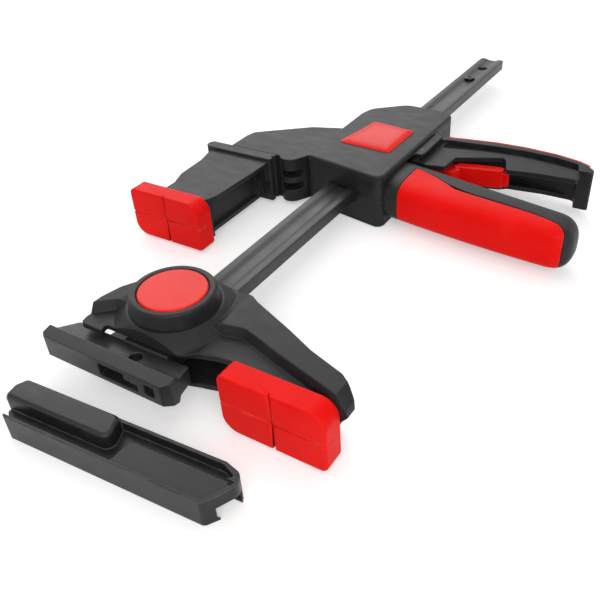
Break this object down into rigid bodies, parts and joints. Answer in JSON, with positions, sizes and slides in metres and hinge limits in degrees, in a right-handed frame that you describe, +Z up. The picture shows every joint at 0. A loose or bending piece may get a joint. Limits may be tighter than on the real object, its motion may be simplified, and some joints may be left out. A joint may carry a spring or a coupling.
{
  "type": "quick release bar clamp",
  "caption": "One-handed lever bar clamp with a swivelling head, red pads and grip, an end rail and a loose clip strip.",
  "frame": {"origin": "On the axis of the swivelling head, in the plane that the clamp lies on: the flat round foot of the head.", "axes": "+X from the bar towards the handle, +Y along the bar from the head towards its free end, +Z up, along the axis of the swivelling head"},
  "size_m": [0.2537, 0.508, 0.0417],
  "materials": {
    "dark_steel": "satin",
    "bright_steel": "satin",
    "black_plastic": "matte",
    "red_rubber": "satin",
    "red_plastic": "satin"
  },
  "bodies": {
    "bar": {"bar": "dark_steel", "bar_stop_pin": "bright_steel", "end_rail": "dark_steel", "rail_pins": "bright_steel", "swivel_pin": "bright_steel", "swivel_washers": "bright_steel", "swivel_clip": "bright_steel"},
    "head": {"head_upper_shell": "black_plastic", "head_lower_shell": "black_plastic", "head_screws": "bright_steel", "knob_ring": "black_plastic", "near_pad": "red_rubber", "button_spring": "bright_steel"},
    "button": {"swivel_button": "red_plastic"},
    "carriage": {"body_upper_shell": "black_plastic", "body_lower_shell": "black_plastic", "body_screws": "bright_steel", "top_cover": "black_plastic", "bottom_cover": "black_plastic", "badge": "red_plastic", "pad_extension": "black_plastic", "far_pad": "red_rubber", "handle_core": "black_plastic", "handle_grip": "red_rubber", "lever_pin": "bright_steel", "drive_spring": "bright_steel", "brake_spring": "bright_steel"},
    "lever": {"squeeze_lever": "black_plastic", "lever_strip": "red_rubber"},
    "release": {"release_lever": "red_plastic"},
    "drive": {"drive_plate": "bright_steel"},
    "brake": {"brake_plate": "bright_steel"},
    "strip": {"clip_strip": "black_plastic"}
  },
  "joints": [
    {"name": "head_swivel", "type": "hinge", "parent": "bar", "child": "head", "pos_m": [0, 0, 0.01775], "axis": [0, 0, 1], "range_deg": [-12, 55]},
    {"name": "button_press", "type": "slide", "parent": "head", "child": "button", "axis": [0, 0, -1], "range_m": [0, 0.003], "stiffness_N_per_m": 800, "springref_m": -0.002, "deforming": ["button_spring"]},
    {"name": "carriage_slide", "type": "slide", "parent": "bar", "child": "carriage", "axis": [0, 1, 0], "range_m": [-0.105, 0.098]},
    {"name": "lever_squeeze", "type": "hinge", "parent": "carriage", "child": "lever", "pos_m": [0.033, 0.207, 0.01775], "axis": [0, 0, -1], "range_deg": [0, 14], "stiffness_Nm_per_rad": 0.6, "springref_deg": -17.19},
    {"name": "release_pull", "type": "hinge", "parent": "carriage", "child": "release", "pos_m": [0.033, 0.207, 0.01775], "axis": [0, 0, -1], "range_deg": [0, 5], "stiffness_Nm_per_rad": 0.5, "springref_deg": -11.46},
    {"name": "drive_feed", "type": "slide", "parent": "carriage", "child": "drive", "axis": [0, 1, 0], "range_m": [0, 0.0047], "deforming": ["drive_spring"]},
    {"name": "brake_tilt", "type": "hinge", "parent": "carriage", "child": "brake", "pos_m": [-0.017, 0.19387, 0.01775], "axis": [0, 0, 1], "range_deg": [0, 2.86], "deforming": ["brake_spring"]},
    {"name": "strip_lift", "type": "slide", "parent": "bar", "child": "strip", "axis": [0, 0, 1], "range_m": [0, 0.06]}
  ],
  "couplings": [
    {"joint": "drive_feed", "follows": "lever_squeeze", "m_per_rad": 0.019},
    {"joint": "brake_tilt", "follows": "release_pull", "ratio": 0.5625}
  ]
}
